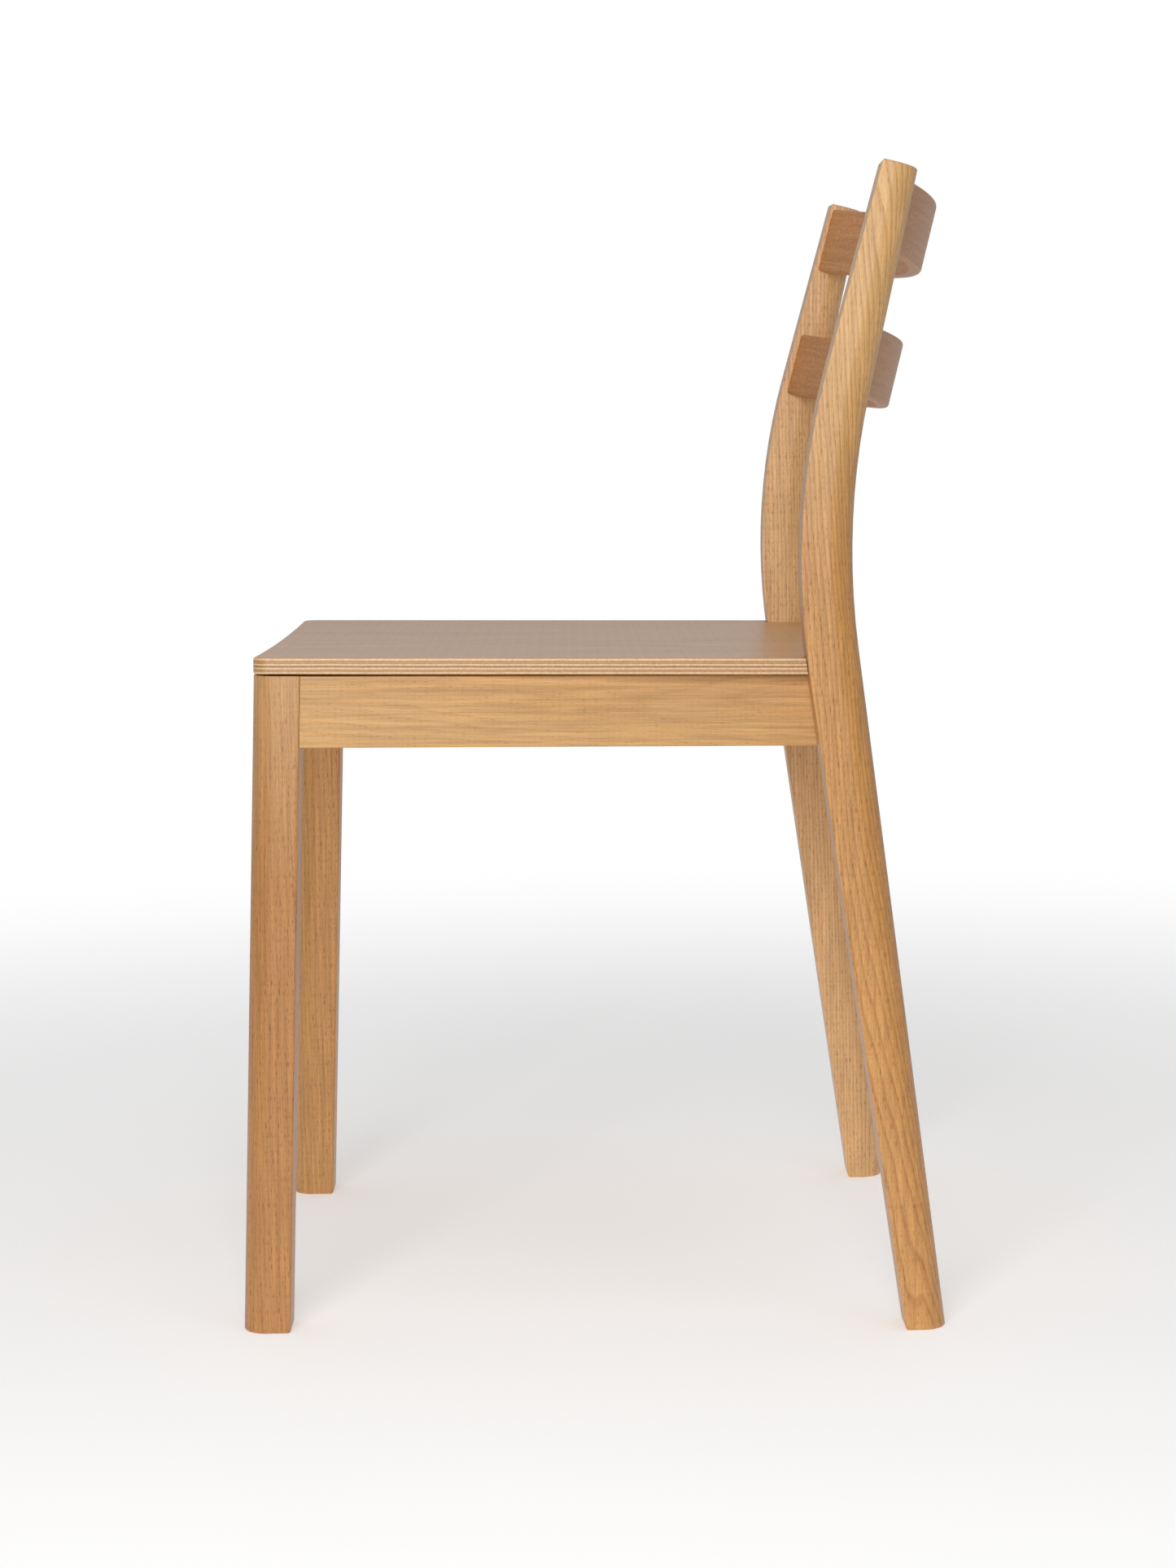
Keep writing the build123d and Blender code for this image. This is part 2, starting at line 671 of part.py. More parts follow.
chair_parts = {
    "front_leg_left": front_leg_left,
    "front_leg_right": front_leg_right,
    "rear_leg_left": rear_leg_left,
    "rear_leg_right": rear_leg_right,
    "side_apron_left": side_apron_left,
    "side_apron_right": side_apron_right,
    "front_apron": front_apron,
    "rear_apron": rear_apron,
    "seat_panel": seat_panel,
    "top_back_slat": top_back_slat,
    "lower_back_slat": lower_back_slat,
    "corner_block_front_left": corner_block_front_left,
    "corner_block_front_right": corner_block_front_right,
    "corner_block_rear_left": corner_block_rear_left,
    "corner_block_rear_right": corner_block_rear_right,
    "side_apron_dowels": side_apron_dowels,
    "front_apron_dowels": front_apron_dowels,
    "rear_apron_dowels": rear_apron_dowels,
    "rear_leg_bolts": rear_leg_bolts,
    "rear_leg_insert_nuts": rear_leg_insert_nuts,
    "corner_block_screws": corner_block_screws,
    "seat_screws": seat_screws,
    "seat_spacers": seat_spacers,
}


def tipped(piece):
    """A piece as it stands when all four feet are on a level floor."""
    return piece.part.rotate(Axis.X, -seat_slope)


front_end = tipped(front_leg_left).bounding_box().min.Y
rear_end = tipped(top_back_slat).bounding_box().max.Y
os.makedirs("parts", exist_ok=True)
for name, piece in chair_parts.items():
    standing = tipped(piece).translate((0, -(front_end + rear_end) / 2, 0))
    standing.label = name
    export_step(standing, f"parts/{name}.step")
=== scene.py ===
# %% [markdown]
# # An oak dining chair
# Four legs, a frame of aprons, a bent plywood seat and two curved back slats. The shapes come from the
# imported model. This script gives every piece the wood or metal it is made of, lights the chair and sets
# up a camera.

from math import cos, radians, sin

import bpy
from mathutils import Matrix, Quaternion, Vector


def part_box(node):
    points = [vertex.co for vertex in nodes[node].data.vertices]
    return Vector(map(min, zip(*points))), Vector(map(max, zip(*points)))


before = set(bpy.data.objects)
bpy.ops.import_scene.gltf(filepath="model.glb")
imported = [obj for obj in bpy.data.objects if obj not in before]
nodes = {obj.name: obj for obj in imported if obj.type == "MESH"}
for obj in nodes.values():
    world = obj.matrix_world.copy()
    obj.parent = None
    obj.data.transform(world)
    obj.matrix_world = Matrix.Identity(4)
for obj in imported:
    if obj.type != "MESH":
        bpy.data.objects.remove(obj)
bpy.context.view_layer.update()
bpy.ops.object.select_all(action="DESELECT")
millimetre = 0.001

# %% [markdown]
# ## Small tools for node materials
# A node material is a tree of boxes joined by links. Adding each box by hand takes several lines, so two
# helpers do it: `put` adds any node and fills or links its inputs, and `calc` adds one step of
# arithmetic. `ramp` and `blend` stand on those two and handle shades and colours.


# %% Helpers for node trees
def put(tree, kind, inputs=None, **settings):
    """Adds a shader node. Inputs are numbers, colours or the output sockets that feed them."""
    node = tree.nodes.new("ShaderNode" + kind)
    for name, value in settings.items():
        setattr(node, name, value)
    for key, value in (inputs or {}).items():
        if isinstance(value, bpy.types.NodeSocket):
            tree.links.new(value, node.inputs[key])
        else:
            node.inputs[key].default_value = value
    return node


def calc(tree, operation, *values):
    """One step of arithmetic on numbers or sockets."""
    return put(tree, "Math", dict(enumerate(values)), operation=operation).outputs[0]


def ramp(tree, factor, *stops):
    """A ramp from 0 to 1, given as pairs of a position and a brightness or a colour."""
    node = put(tree, "ValToRGB", {"Fac": factor})
    points = node.color_ramp.elements
    while len(points) < len(stops):
        points.new(0.5)
    for point, (position, shade) in zip(points, stops):
        point.position = position
        point.color = shade if isinstance(shade, tuple) else (shade, shade, shade, 1)
    return node.outputs["Color"]


def blend(tree, factor, low, high, how="MIX"):
    """Mixes two colours."""
    node = put(tree, "Mix", data_type="RGBA", blend_type=how)
    sockets = [s for s in node.inputs if s.type == "RGBA" or s.identifier == "Factor_Float"]
    for socket, value in zip(sockets, (factor, low, high)):
        if isinstance(value, bpy.types.NodeSocket):
            tree.links.new(value, socket)
        else:
            socket.default_value = value
    return next(s for s in node.outputs if s.type == "RGBA")


def srgb(red, green, blue):
    """A colour as a painter mixes it on screen, turned into the linear light that shaders use."""

    def linear(level):
        level = level / 255
        return level / 12.92 if level <= 0.04045 else ((level + 0.055) / 1.055) ** 2.4

    return (linear(red), linear(green), linear(blue), 1.0)


def new_material(name):
    """An empty node material with a Principled shader wired to its output."""
    material = bpy.data.materials.new(name)
    material.use_nodes = True
    tree = material.node_tree
    tree.nodes.clear()
    shader = put(tree, "BsdfPrincipled")
    output = put(tree, "OutputMaterial")
    tree.links.new(shader.outputs[0], output.inputs["Surface"])
    return material, tree, shader


# %% [markdown]
# ## Which way the grain runs
# Wood is a solid pattern: the grain goes through the piece and the faces only cut it. So the pattern is
# worked out in space, from Object coordinates, and not painted on. Each piece first gets its own wood
# coordinates: x along the fibres, y and z across them. For a straight board that is a turn and a swap of
# axes. A bent slat needs polar coordinates, so that the fibres follow the bend.


# %% Wood coordinates of straight and bent pieces
def board_coordinates(tree, centre, turn, along):
    """Coordinates of a straight board whose fibres run along the named axis once it is turned level."""
    place = put(tree, "TexCoord").outputs["Object"]
    turned = put(
        tree, "Mapping", {"Vector": place, "Location": centre, "Rotation": turn}, vector_type="TEXTURE"
    )
    split = put(tree, "SeparateXYZ", {"Vector": turned.outputs[0]}).outputs
    others = [axis for axis in "XYZ" if axis != along]
    inputs = {"X": split[along], "Y": split[others[0]], "Z": split[others[1]]}
    return put(tree, "CombineXYZ", inputs).outputs[0]


def bent_coordinates(tree, axis_point, rake, radius):
    """Coordinates of a slat bent round a raked axis: x along the bend, y through it, z up the slat."""
    place = put(tree, "TexCoord").outputs["Object"]
    turned = put(
        tree,
        "Mapping",
        {"Vector": place, "Location": axis_point, "Rotation": (-rake, 0, 0)},
        vector_type="TEXTURE",
    )
    split = put(tree, "SeparateXYZ", {"Vector": turned.outputs[0]}).outputs
    angle = calc(tree, "ARCTAN2", split["X"], split["Y"])
    flat = put(tree, "CombineXYZ", {"X": split["X"], "Y": split["Y"]}).outputs[0]
    reach = put(tree, "VectorMath", {0: flat}, operation="LENGTH").outputs["Value"]
    inputs = {"X": calc(tree, "MULTIPLY", angle, radius), "Y": calc(tree, "SUBTRACT", reach, radius)}
    inputs["Z"] = split["Z"]
    return put(tree, "CombineXYZ", inputs).outputs[0]


# %% [markdown]
# ## Oak
# Oak is ring-porous: each year starts with a row of wide pores and ends with dense, paler wood. Sawn
# lengthways, the pores show as short dark flecks and the years as soft bands or arches. The recipe
# follows that. The distance from the tree's heart gives the year, a stretched Voronoi pattern gives the
# pores, and stretched noise gives the fibres and the slow drift of tone. The heart lies off the piece and
# may be tilted to it, which makes arches.


# %% Rings and pores
# Patterns are given as repeats per metre, first along the fibres and then across them.
slow_wave_repeats = (3.0, 22.0)
slow_wave = 16.0 * millimetre  # how far the rings wander in and out over a hand's width
fine_wave_repeats = (14.0, 120.0)
fine_wave = 1.6 * millimetre  # small crinkles of the rings
smallest_pore, largest_pore = 0.15, 0.5  # radius, as a share of a cell
pore_edge = 0.2  # softness of a pore's outline


def stretched(tree, coordinates, along, across):
    """Wood coordinates scaled so that a pattern comes out long in the direction of the fibres."""
    factors = (along, across, across)
    return put(tree, "VectorMath", {0: coordinates, 1: factors}, operation="MULTIPLY").outputs[0]


def noise(tree, coordinates, along, across, detail=2.0):
    """Stretched noise between 0 and 1."""
    inputs = {"Vector": stretched(tree, coordinates, along, across), "Scale": 1.0, "Detail": detail}
    return put(tree, "TexNoise", inputs).outputs["Fac"]


def tree_rings(tree, coordinates, heart, heart_tilt, ring_width):
    """How far through its year the wood is, from 0 at the pores to 1 at the end of the summer."""
    split = put(tree, "SeparateXYZ", {"Vector": coordinates}).outputs
    drift = [calc(tree, "MULTIPLY_ADD", split["X"], slope, -start) for slope, start in zip(heart_tilt, heart)]
    sides = [calc(tree, "ADD", split[axis], part) for axis, part in zip("YZ", drift)]
    out = put(tree, "CombineXYZ", {"Y": sides[0], "Z": sides[1]}).outputs[0]
    distance = put(tree, "VectorMath", {0: out}, operation="LENGTH").outputs["Value"]
    slow = calc(tree, "MULTIPLY", noise(tree, coordinates, *slow_wave_repeats), slow_wave)
    fine = calc(tree, "MULTIPLY", noise(tree, coordinates, *fine_wave_repeats), fine_wave)
    wavy = calc(tree, "ADD", calc(tree, "ADD", distance, slow), fine)
    return calc(tree, "FRACT", calc(tree, "DIVIDE", wavy, ring_width))


def pore_flecks(tree, coordinates, length, width, share):
    """Short dark flecks, one or none to each cell of a stretched Voronoi pattern."""
    cells = put(
        tree,
        "TexVoronoi",
        {"Vector": stretched(tree, coordinates, 1 / length, 1 / width), "Scale": 1.0, "Randomness": 0.9},
        feature="F1",
    )
    size = put(tree, "SeparateColor", {"Color": cells.outputs["Color"]}).outputs[0]
    grow = {"Value": size, 1: 1 - share, 2: 1.0, 3: smallest_pore, 4: largest_pore}
    radius = put(tree, "MapRange", grow, clamp=False).outputs[0]
    gap = calc(tree, "SUBTRACT", radius, cells.outputs["Distance"])
    return put(tree, "MapRange", {"Value": gap, 1: 0.0, 2: pore_edge, 3: 0.0, 4: 1.0}, clamp=True).outputs[0]


# %% [markdown]
# ## The wood recipe
# One recipe serves every wooden piece. It starts from two tones, spring and summer wood, and mixes them
# by the year. Fibres, streaks and a slow drift then darken and lighten that colour, and the pores go on
# last. The recipe can also paint a piece paler, with fainter pores, between two heights. This is painted
# light, standing in for the brighter light and sheen on the upper parts.

# %% The wood recipe
# A year from its start to its end: how dark its wood is, and how many pores it has.
spring_curve = ((0.0, 0.9), (0.08, 1.0), (0.28, 0.35), (0.60, 0.05), (0.92, 0.0), (1.0, 0.9))
crowd_curve = ((0.0, 1.0), (0.35, 0.75), (0.60, 0.45), (0.90, 0.45), (1.0, 1.0))
fibre_repeats = (30.0, 1600.0)
streak_repeats = (9.0, 300.0)
drift_repeats = (2.5, 16.0)
crossed_repeats = (260.0, 1400.0)
drift_dark, drift_light = (0.93, 0.89, 0.85, 1), (1.05, 1.06, 1.07, 1)
# Painted light: towards the top, some legs are painted paler and their pores fainter, in place of the
# brighter light and sheen that falls there.
painted_light_tint = (1.22, 1.46, 1.95, 1.0)  # what the palest wood gains in red, green and blue
painted_light_pore_fade = -0.6  # pores show less by this share where the wood is palest


def shaded(tree, colour, pattern, dark, light):
    """Darkens and lightens a colour as a pattern goes from low to high. Dark and light are ramp stops."""
    return blend(tree, 1.0, colour, ramp(tree, pattern, dark, light), "MULTIPLY")


def wood(
    name,
    coordinates_of,
    tones,
    heart,
    heart_tilt=(0, 0),
    ring_width=0.0026,
    pores=(0.0060, 0.0009, 0.8),
    ring_contrast=0.4,
    pore_depth=0.9,
    roughness=0.42,
    coat=0.2,
    drift=0.5,
    crossed=0.0,
    painted_light_heights=None,
):
    """A solid wood. Tones are the summer wood, the spring wood and the pores."""
    material, tree, shader = new_material(name)
    coordinates = coordinates_of(tree)
    year = tree_rings(tree, coordinates, heart, heart_tilt, ring_width)
    spring = ramp(tree, year, *spring_curve)
    spring = calc(tree, "MULTIPLY", spring, ring_contrast)
    length, width, share = pores
    large = pore_flecks(tree, coordinates, length, width, share)
    small = pore_flecks(tree, coordinates, length * 0.55, width * 0.6, share)
    crowd = ramp(tree, year, *crowd_curve)
    large = calc(tree, "MULTIPLY", large, crowd)
    flecks = calc(tree, "MAXIMUM", large, calc(tree, "MULTIPLY", small, 0.5))
    fibres = noise(tree, coordinates, *fibre_repeats, 3.0)
    streaks = noise(tree, coordinates, *streak_repeats, 2.0)
    slow = noise(tree, coordinates, *drift_repeats, 1.0)
    colour = blend(tree, spring, tones[0], tones[1])
    colour = shaded(tree, colour, fibres, (0.30, 0.86), (0.70, 1.12))
    colour = shaded(tree, colour, streaks, (0.30, 0.84), (0.70, 1.10))
    drifted = shaded(tree, colour, slow, (0.30, drift_dark), (0.70, drift_light))
    colour = blend(tree, drift, colour, drifted)
    for turn in (crossed, -crossed) if crossed else ():
        turned = put(tree, "Mapping", {"Vector": coordinates, "Rotation": (0, turn, 0)}).outputs[0]
        weave = noise(tree, turned, *crossed_repeats)
        colour = shaded(tree, colour, weave, (0.38, 0.84), (0.62, 1.10))
    fleck_depth = calc(tree, "MULTIPLY", flecks, pore_depth)
    # Painted light: between the two heights the colour turns paler and the pores fainter, standing in for
    # brighter light and sheen on the upper part.
    if painted_light_heights:
        height = put(tree, "SeparateXYZ", {"Vector": put(tree, "TexCoord").outputs["Object"]}).outputs["Z"]
        start, full = painted_light_heights
        paler = put(tree, "MapRange", {"Value": height, 1: start, 2: full}, clamp=True).outputs[0]
        colour = blend(tree, paler, colour, painted_light_tint, "MULTIPLY")
        faint = calc(tree, "MULTIPLY_ADD", paler, painted_light_pore_fade, 1.0)
        fleck_depth = calc(tree, "MULTIPLY", fleck_depth, faint)
    colour = blend(tree, fleck_depth, colour, tones[2])
    tree.links.new(colour, shader.inputs["Base Color"])
    rough = calc(tree, "MULTIPLY_ADD", fibres, 0.14, roughness - 0.07)
    rough = calc(tree, "MULTIPLY_ADD", flecks, 0.18, rough)
    tree.links.new(rough, shader.inputs["Roughness"])
    shader.inputs["Coat Weight"].default_value = coat
    shader.inputs["Coat Roughness"].default_value = 0.3
    height = calc(tree, "MULTIPLY_ADD", flecks, -1.0, calc(tree, "MULTIPLY", fibres, 0.35))
    bump = put(tree, "Bump", {"Height": height, "Strength": 0.35, "Distance": 0.00025})
    tree.links.new(bump.outputs[0], shader.inputs["Normal"])
    return material


def wear(node_name, material):
    """Gives a piece of the chair its finish."""
    for material_slot in nodes[node_name].material_slots:
        material_slot.material = material
    print(node_name, "is now", material.name)


# %% [markdown]
# ## Legs and aprons
# These are sawn from straight-grained oak boards. The rear legs are cut to their bend from a wide board,
# so their fibres stay upright while the outline swings across them. Every piece comes from another
# part of the tree: its heart lies somewhere else, which gives each leg its own figure. The tones differ a
# little from leg to leg too. On the two legs on the sitter's left, painted light turns the wood paler
# towards their tops, and the paler tones of the far rear leg are partly painted light.

# %% Oak for the legs
oak_tones = (srgb(205, 150, 86), srgb(176, 117, 58), srgb(152, 94, 42))
# The far rear leg's pale tones are partly its own tone and partly painted light, standing in for the extra
# side light that this leg catches.
pale_tones_with_painted_light = (srgb(230, 182, 126), srgb(194, 138, 82), srgb(172, 114, 62))
warm_tones = (srgb(188, 132, 74), srgb(162, 104, 50), srgb(136, 80, 36))
upright = (0.0, 0.0, 0.0)


def leg_board(node_name):
    """Wood coordinates of an upright leg, centred on its box."""
    low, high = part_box(node_name)
    centre = (low + high) / 2
    return lambda tree: board_coordinates(tree, centre, upright, "Z")


# For each leg: tones, where the tree's heart lies and how it leans, ring width, ring contrast, heights of the
# painted light
leg_looks = {
    "rear_leg_left": (oak_tones, (-0.038, 0.027), (-0.06, 0.0), 0.0028, 0.7, (0.50, 0.66)),
    "rear_leg_right": (pale_tones_with_painted_light, (0.012, 0.085), (0.01, 0.0), 0.0030, 0.55, None),
    "front_leg_left": (warm_tones, (0.055, 0.040), (0.01, -0.03), 0.0030, 0.4, (0.30, 0.44)),
    "front_leg_right": (oak_tones, (-0.030, 0.070), (0.02, 0.0), 0.0028, 0.4, None),
}
for leg, (tones, heart, heart_tilt, ring_width, ring_contrast, painted_light_heights) in leg_looks.items():
    finish = wood(
        "oak_" + leg,
        leg_board(leg),
        tones,
        heart,
        heart_tilt,
        ring_width,
        ring_contrast=ring_contrast,
        painted_light_heights=painted_light_heights,
    )
    wear(leg, finish)

# %% Oak for the aprons
seat_slope = radians(1.09)
apron_taper = radians(3.09)


def apron_board(node_name, turn, along):
    """Wood coordinates of an apron, turned to lie along the board."""
    low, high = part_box(node_name)
    centre = (low + high) / 2
    return lambda tree: board_coordinates(tree, centre, turn, along)


apron_tones = (srgb(210, 162, 102), srgb(190, 140, 80), srgb(156, 104, 52))
apron_hearts = {
    "side_apron_left": ((-seat_slope, 0.0, apron_taper), "Y", (0.100, 0.010), 0.0022),
    "side_apron_right": ((-seat_slope, 0.0, -apron_taper), "Y", (-0.080, 0.030), 0.0024),
    "front_apron": (upright, "X", (0.090, 0.020), 0.0025),
    "rear_apron": (upright, "X", (-0.070, 0.050), 0.0025),
}
for apron, (turn, along, heart, ring_width) in apron_hearts.items():
    board = apron_board(apron, turn, along)
    material = wood(
        "oak_" + apron,
        board,
        apron_tones,
        heart,
        (0.01, 0.02),
        ring_width,
        pores=(0.004, 0.0004, 0.5),
        pore_depth=0.6,
    )
    wear(apron, material)

# %% [markdown]
# ## Back slats
# Each slat is bent to an arc, so its fibres follow the arc. The slats are a little redder than the legs,
# and a faint crossed pattern in two slanting directions breaks up their grain.

# %% Bent oak for the slats
slat_rake = radians(14.23)
slat_radius = 0.41505
slat_axis = (0.0, -0.16391, 0.85998)
slat_tones = (srgb(204, 140, 80), srgb(182, 118, 62), srgb(130, 78, 36))
for slat, heart in (("top_back_slat", (0.030, 0.090)), ("lower_back_slat", (-0.040, 0.070))):
    material = wood(
        "bent_oak_" + slat,
        lambda tree: bent_coordinates(tree, slat_axis, slat_rake, slat_radius),
        slat_tones,
        heart,
        (0.02, 0.03),
        0.0012,
        pores=(0.0016, 0.0006, 0.7),
        ring_contrast=0.2,
        pore_depth=0.6,
        roughness=0.36,
        coat=0.0,
        crossed=radians(40),
    )
    wear(slat, material)

# %% [markdown]
# ## Plywood seat
# The seat is a stack of thin layers with their grain crossed in turn. Its faces are oak veneer with the
# grain from front to back. On the edge the layers cut lengthways look pale and those cut across look
# darker. The depth of a point below the dished top face tells which layer it is in, so the same bands
# turn round the corners and the notches by themselves.

# %% Plywood for the seat
seat_low, seat_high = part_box("seat_panel")
seat_half_width = seat_high.x
seat_thickness = 11.0 * millimetre
seat_dish = 2.0 * millimetre
layer_waver = 0.03  # how far the layers wander, as a share of the thickness
top_vertex = max((v.co for v in nodes["seat_panel"].data.vertices), key=lambda spot: spot.z)
seat_level = top_vertex.z * cos(seat_slope) + top_vertex.y * sin(seat_slope)


def seat_depth(tree):
    """How deep a point lies in the plywood: 0 on the top face and 1 on the underside."""
    split = put(tree, "SeparateXYZ", {"Vector": put(tree, "TexCoord").outputs["Object"]}).outputs
    level = calc(tree, "MULTIPLY", split["Z"], cos(seat_slope))
    level = calc(tree, "MULTIPLY_ADD", split["Y"], sin(seat_slope), level)
    across = calc(tree, "POWER", calc(tree, "DIVIDE", split["X"], seat_half_width), 2.0)
    top = calc(tree, "MULTIPLY_ADD", across, seat_dish, seat_level - seat_dish)
    return calc(tree, "DIVIDE", calc(tree, "SUBTRACT", top, level), seat_thickness)


def plywood(name):
    """Oak-faced plywood with its layers showing on the edge."""
    centre = (seat_low + seat_high) / 2
    veneer_tones = (srgb(210, 160, 108), srgb(192, 140, 88), srgb(150, 100, 58))
    material = wood(
        name,
        lambda tree: board_coordinates(tree, centre, (-seat_slope, 0, 0), "Y"),
        veneer_tones,
        (0.06, 0.12),
        (0.04, 0.02),
        0.0040,
        pores=(0.008, 0.0007, 0.5),
        pore_depth=0.5,
        ring_contrast=0.6,
        roughness=0.36,
        coat=0.35,
    )
    tree = material.node_tree
    shader = next(node for node in tree.nodes if node.type == "BSDF_PRINCIPLED")
    face_colour = shader.inputs["Base Color"].links[0].from_socket
    depth = seat_depth(tree)
    place = put(tree, "TexCoord").outputs["Object"]
    waver = put(tree, "TexNoise", {"Vector": place, "Scale": 60.0, "Detail": 1.0}).outputs["Fac"]
    wavy = calc(tree, "MULTIPLY_ADD", calc(tree, "SUBTRACT", waver, 0.5), layer_waver, depth)
    pale = srgb(226, 192, 146)
    tan = srgb(186, 138, 88)
    brown = srgb(170, 120, 72)
    # Where each layer starts and ends, as a share of the thickness
    bands = [(0.00, 0.13, pale), (0.16, 0.35, tan), (0.38, 0.44, pale), (0.47, 0.57, brown)]
    bands += [(0.60, 0.66, pale), (0.69, 0.83, tan), (0.86, 1.00, pale)]
    layers = ramp(tree, wavy, *[(end, band[2]) for band in bands for end in band[:2]])
    fine = put(tree, "TexNoise", {"Vector": place, "Scale": 450.0, "Detail": 4.0}).outputs["Fac"]
    layers = shaded(tree, layers, fine, (0.3, 0.84), (0.7, 1.10))
    upper = put(tree, "MapRange", {"Value": depth, 1: 0.02, 2: 0.05, 3: 0.0, 4: 1.0}, clamp=True).outputs[0]
    lower = put(tree, "MapRange", {"Value": depth, 1: 0.95, 2: 0.98, 3: 1.0, 4: 0.0}, clamp=True).outputs[0]
    edge = calc(tree, "MULTIPLY", upper, lower)
    tree.links.new(blend(tree, edge, face_colour, layers), shader.inputs["Base Color"])
    return material


wear("seat_panel", plywood("oak_plywood_seat"))
print("seat level", round(seat_level, 4))

# %% [markdown]
# ## Hidden hardware
# Under the seat are beech corner blocks and dowels, zinc-plated screws and bolts, brass inserts and
# rubber spacers. They only show from below, but each still gets its own finish.

# %% Beech blocks and dowels
beech_tones = (srgb(222, 184, 142), srgb(208, 166, 122), srgb(168, 118, 78))
block_turn = radians(45)


def beech(node_name, turn, along, ring_width, pore_width, roughness):
    """Bare beech: fine and even, with tiny flecks and no lacquer."""
    low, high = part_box(node_name)
    centre = (low + high) / 2
    return wood(
        "beech_" + node_name,
        lambda tree: board_coordinates(tree, centre, (0, 0, turn), along),
        beech_tones,
        (0.05, 0.03),
        ring_width=ring_width,
        pores=(0.0025, pore_width, 0.5),
        pore_depth=0.4,
        ring_contrast=0.5,
        roughness=roughness,
        coat=0.0,
    )


for node_name in nodes:
    if node_name.startswith("corner_block_") and not node_name.endswith("screws"):
        low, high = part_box(node_name)
        turn = block_turn if (low.x > 0) == (low.y < 0) else -block_turn
        wear(node_name, beech(node_name, turn, "X", 0.0035, 0.0005, 0.55))
    elif node_name.endswith("_dowels"):
        along = "Y" if node_name.startswith("side") else "X"
        wear(node_name, beech(node_name, 0.0, along, 0.0030, 0.0004, 0.6))


# %% Metal and rubber
def metal(name, colour, roughness, blotch):
    """Plated or turned metal with faint blotches and fine turning marks."""
    material, tree, shader = new_material(name)
    place = put(tree, "TexCoord").outputs["Object"]
    spots = put(tree, "TexNoise", {"Vector": place, "Scale": 260.0, "Detail": 4.0}).outputs["Fac"]
    marks = put(tree, "TexNoise", {"Vector": place, "Scale": 2600.0, "Detail": 2.0}).outputs["Fac"]
    low = tuple(channel * (1 - blotch) for channel in colour[:3]) + (1,)
    tree.links.new(blend(tree, spots, low, colour), shader.inputs["Base Color"])
    tree.links.new(calc(tree, "MULTIPLY_ADD", marks, 0.25, roughness - 0.12), shader.inputs["Roughness"])
    shader.inputs["Metallic"].default_value = 1.0
    bump = put(tree, "Bump", {"Height": marks, "Strength": 0.2, "Distance": 0.00005})
    tree.links.new(bump.outputs[0], shader.inputs["Normal"])
    return material


def rubber(name):
    """Matt black rubber with a faint bloom."""
    material, tree, shader = new_material(name)
    place = put(tree, "TexCoord").outputs["Object"]
    bloom = put(tree, "TexNoise", {"Vector": place, "Scale": 180.0, "Detail": 5.0}).outputs["Fac"]
    tree.links.new(blend(tree, bloom, srgb(28, 28, 29), srgb(52, 51, 50)), shader.inputs["Base Color"])
    tree.links.new(calc(tree, "MULTIPLY_ADD", bloom, 0.2, 0.6), shader.inputs["Roughness"])
    bump = put(tree, "Bump", {"Height": bloom, "Strength": 0.3, "Distance": 0.0001})
    tree.links.new(bump.outputs[0], shader.inputs["Normal"])
    return material


zinc = metal("zinc_plate", srgb(196, 198, 202), 0.34, 0.25)
for node_name in ("rear_leg_bolts", "corner_block_screws", "seat_screws"):
    wear(node_name, zinc)
wear("rear_leg_insert_nuts", metal("turned_brass", srgb(212, 178, 104), 0.3, 0.2))
wear("seat_spacers", rubber("black_rubber"))

# %% [markdown]
# ## Studio
# A pale floor fades into a white surround, so there is no horizon line. One big soft light stands on the
# camera's side and a weak one hangs above. The surround looks white to the camera but lights the chair
# only weakly, more from the far side than from the near side, which gives the flat faces their grey
# sheen.

# %% Floor
floor_radius = 3.0
fade_start, fade_end = 0.5, 2.2  # distance from the middle over which the floor turns clear
bpy.ops.mesh.primitive_circle_add(vertices=96, radius=floor_radius, fill_type="TRIFAN", location=(0, 0, 0))
floor = bpy.context.object
floor.name = "studio_floor"
floor_material, tree, shader = new_material("pale_floor")
place = put(tree, "TexCoord").outputs["Object"]
cloud = put(tree, "TexNoise", {"Vector": place, "Scale": 3.0, "Detail": 3.0}).outputs["Fac"]
tree.links.new(blend(tree, cloud, (0.78, 0.78, 0.78, 1), (0.82, 0.82, 0.82, 1)), shader.inputs["Base Color"])
shader.inputs["Roughness"].default_value = 0.9
shader.inputs["Emission Color"].default_value = (1, 1, 1, 1)
shader.inputs["Emission Strength"].default_value = 0.34
clear = put(tree, "BsdfTransparent")
away = put(tree, "VectorMath", {0: place}, operation="LENGTH").outputs["Value"]
fade_range = {"Value": away, 1: fade_start, 2: fade_end, 3: 0.0, 4: 1.0}
fade = put(tree, "MapRange", fade_range, clamp=True, interpolation_type="SMOOTHSTEP").outputs[0]
mixed = put(tree, "MixShader", {0: fade, 1: shader.outputs[0], 2: clear.outputs[0]})
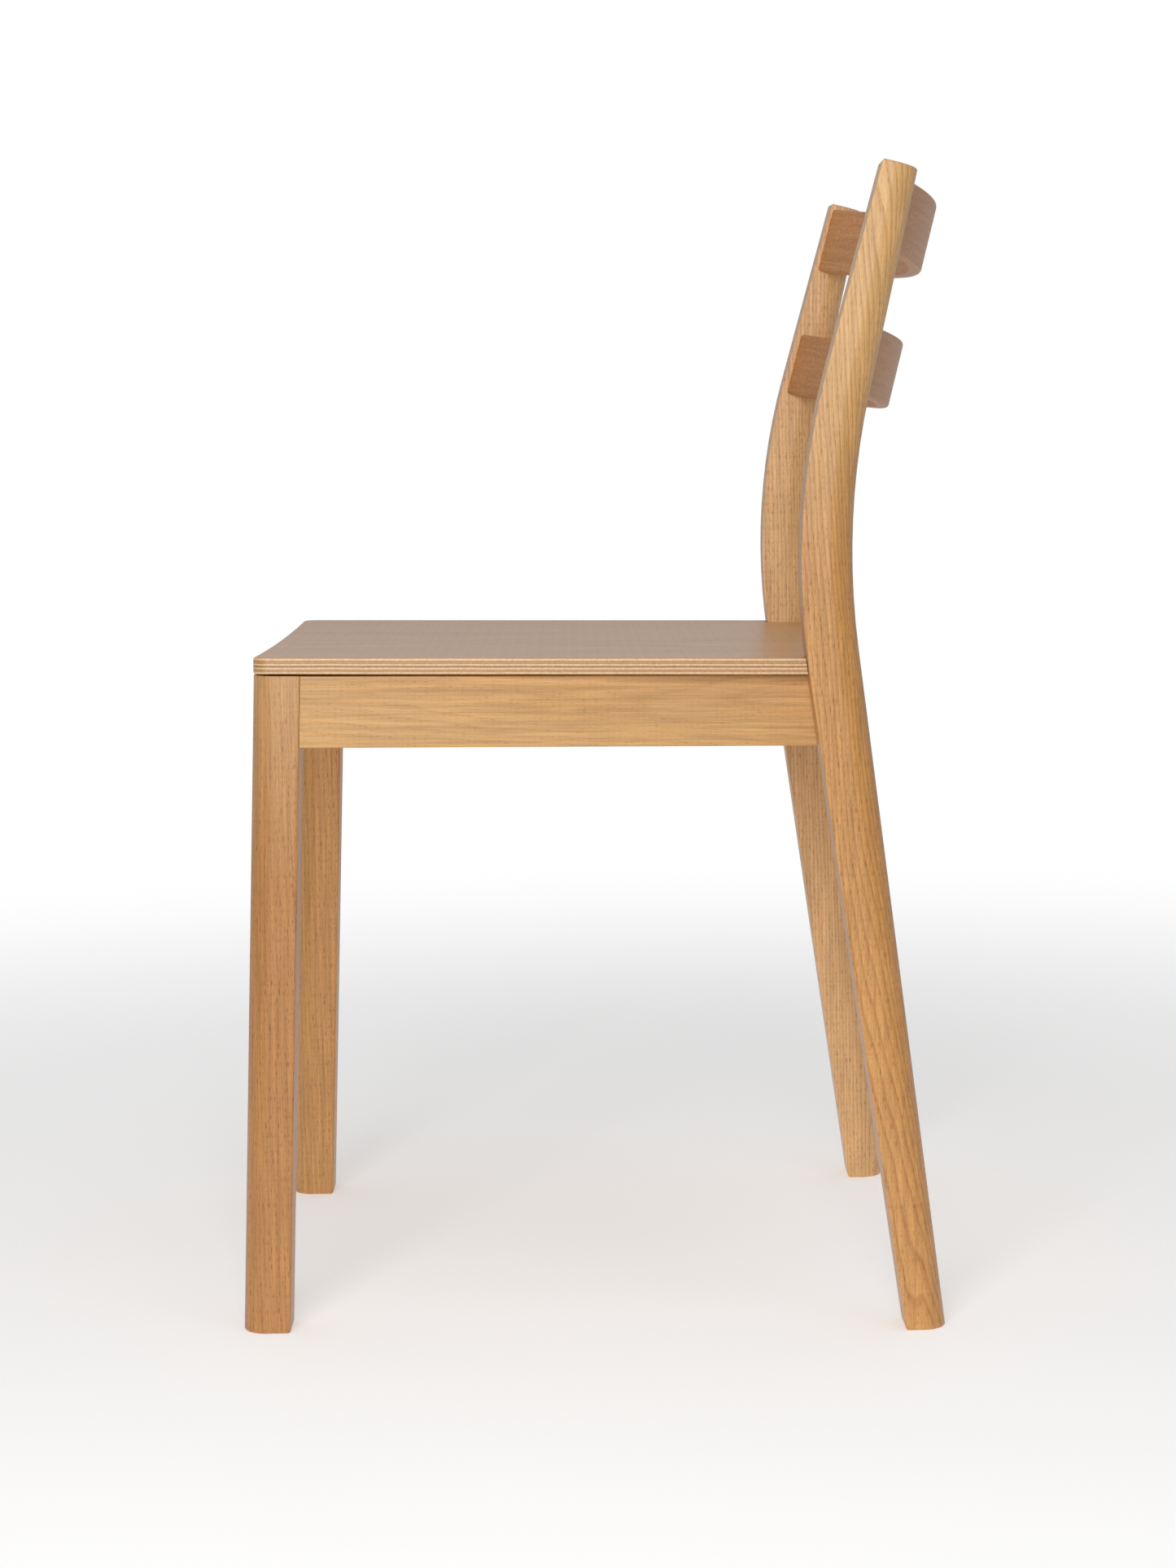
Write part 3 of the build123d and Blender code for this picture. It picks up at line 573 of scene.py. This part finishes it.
tree.links.new(mixed.outputs[0], next(n for n in tree.nodes if n.type == "OUTPUT_MATERIAL").inputs["Surface"])
floor.data.materials.append(floor_material)

# %% Surround and lights
world = bpy.data.worlds.new("studio_surround")
bpy.context.scene.world = world
world.use_nodes = True
tree = world.node_tree
direction = put(tree, "SeparateXYZ", {"Vector": put(tree, "TexCoord").outputs["Generated"]}).outputs
far_glow, near_glow = 0.60, 0.12
glow = put(tree, "MapRange", {"Value": direction["X"], 1: -1.0, 2: 1.0, 3: far_glow, 4: near_glow}).outputs[0]
seen = put(tree, "LightPath").outputs["Is Camera Ray"]
strength = put(tree, "MapRange", {"Value": seen, 3: glow, 4: 1.0}).outputs[0]
tree.nodes["Background"].inputs["Color"].default_value = (1.0, 1.0, 1.0, 1)
tree.links.new(strength, tree.nodes["Background"].inputs["Strength"])


def soft_light(name, place, aim, size, power):
    """A square soft box that faces a point."""
    bpy.ops.object.light_add(type="AREA", location=place)
    light = bpy.context.object
    light.name = name
    light.data.shape = "SQUARE"
    light.data.size = size
    light.data.energy = power
    light.rotation_mode = "QUATERNION"
    light.rotation_quaternion = (Vector(aim) - Vector(place)).to_track_quat("-Z", "Y")
    return light


soft_light("key_light", (2.6, -0.4, 1.15), (0, 0, 0.5), 1.3, 44)
soft_light("top_light", (0.9, 0.3, 2.4), (0, 0, 0.4), 1.2, 6)

# %% [markdown]
# ## Camera
# A long lens a little above the seat, looking at the sitter's left side.

# %% Camera
bpy.ops.object.camera_add(location=(2.399, -0.0181, 0.5976))
camera = bpy.context.object
camera.name = "studio_camera"
camera.data.sensor_width = 36.0
camera.data.sensor_fit = "AUTO"
camera.data.lens = 76.2
yaw, pitch, roll = radians(0.2634), radians(6.045), radians(-1.055)
aim = Vector((-cos(yaw) * cos(pitch), sin(yaw) * cos(pitch), -sin(pitch)))
camera.rotation_mode = "QUATERNION"
camera.rotation_quaternion = aim.to_track_quat("-Z", "Y") @ Quaternion((0, 0, 1), roll)
bpy.context.scene.camera = camera
bpy.context.scene.view_settings.view_transform = "Standard"
